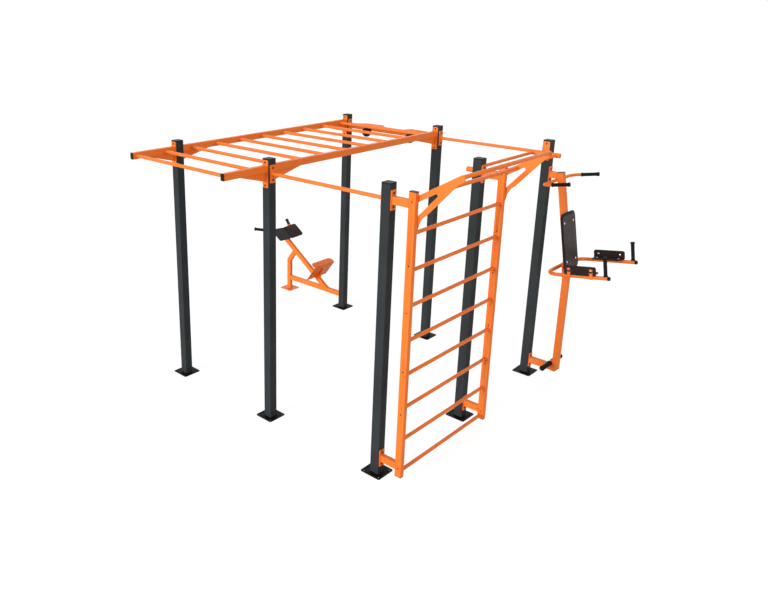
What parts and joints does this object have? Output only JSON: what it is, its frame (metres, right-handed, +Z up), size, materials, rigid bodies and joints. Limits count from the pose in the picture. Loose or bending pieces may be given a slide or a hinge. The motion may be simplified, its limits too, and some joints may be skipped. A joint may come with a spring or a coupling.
{
  "type": "outdoor workout complex",
  "caption": "Outdoor workout complex: square posts carry an overhead ladder, high bars, wall bars with an overhang, parallel bars, ball grips, a knee-raise tower and an incline bench.",
  "frame": {"origin": "on the ground, at the centre of the front left post's base bolt pattern", "axes": "+X along the front row of posts to the wall bars and the tower, +Y to the back row of posts, +Z up"},
  "size_m": [4.9858, 3.595, 2.7435],
  "materials": {
    "graphite_paint": "dark graphite powder coat, satin",
    "orange_paint": "orange powder coat, satin",
    "black_plastic": "black moulded plastic plugs",
    "black_rubber": "black rubber sleeves",
    "brown_board": "dark brown plastic sheet, matt",
    "zinc_steel": "zinc-plated round-head bolts of the boards",
    "dark_steel": "dark hexagon bolts of the frame"
  },
  "bodies": {
    "root": {"back_beam": "orange_paint", "back_handles": "orange_paint", "ball_grips": "black_rubber", "bench_base_tube": "orange_paint", "bench_beam": "orange_paint", "bench_board_support": "orange_paint", "bench_boards": "brown_board", "bench_footrest": "orange_paint", "bench_grips": "black_rubber", "bench_handles": "orange_paint", "bench_upright": "orange_paint", "board_bolts": "zinc_steel", "chin_grips": "black_rubber", "chin_handle": "orange_paint", "dip_bar_left": "orange_paint", "dip_bar_right": "orange_paint", "dip_pipe_back": "orange_paint", "dip_pipe_front": "orange_paint", "foot_peg_bar": "orange_paint", "foot_peg_sleeves": "black_rubber", "frame_bolts": "dark_steel", "high_bar_back": "orange_paint", "high_bar_front": "orange_paint", "ladder_rail_left": "orange_paint", "ladder_rail_right": "orange_paint", "ladder_rungs": "orange_paint", "ladder_stub_left": "orange_paint", "ladder_stub_right": "orange_paint", "overhang_bar_inner": "orange_paint", "overhang_bar_outer": "orange_paint", "overhang_bracket_back": "orange_paint", "overhang_bracket_front": "orange_paint", "pipe_end_caps": "black_plastic", "post_back_left": "graphite_paint", "post_back_middle": "graphite_paint", "post_back_right": "graphite_paint", "post_caps": "black_plastic", "post_front_left": "graphite_paint", "post_front_middle": "graphite_paint", "post_front_right": "graphite_paint", "post_middle_right": "graphite_paint", "stile_back": "orange_paint", "stile_bolts": "dark_steel", "stile_front": "orange_paint", "tower_arm_frame": "orange_paint", "tower_arm_straps": "orange_paint", "tower_arm_tabs": "orange_paint", "tower_back_board": "brown_board", "tower_back_straps": "orange_paint", "tower_hand_grips": "black_rubber", "tower_mast": "orange_paint", "tower_mount_lower": "orange_paint", "tower_mount_upper": "orange_paint", "tower_rest_boards": "brown_board", "tower_upright_boards": "brown_board", "tube_end_caps": "black_plastic", "wall_bar_mounts_back": "orange_paint", "wall_bar_mounts_front": "orange_paint", "wall_bar_rungs": "orange_paint"}
  },
  "joints": []
}
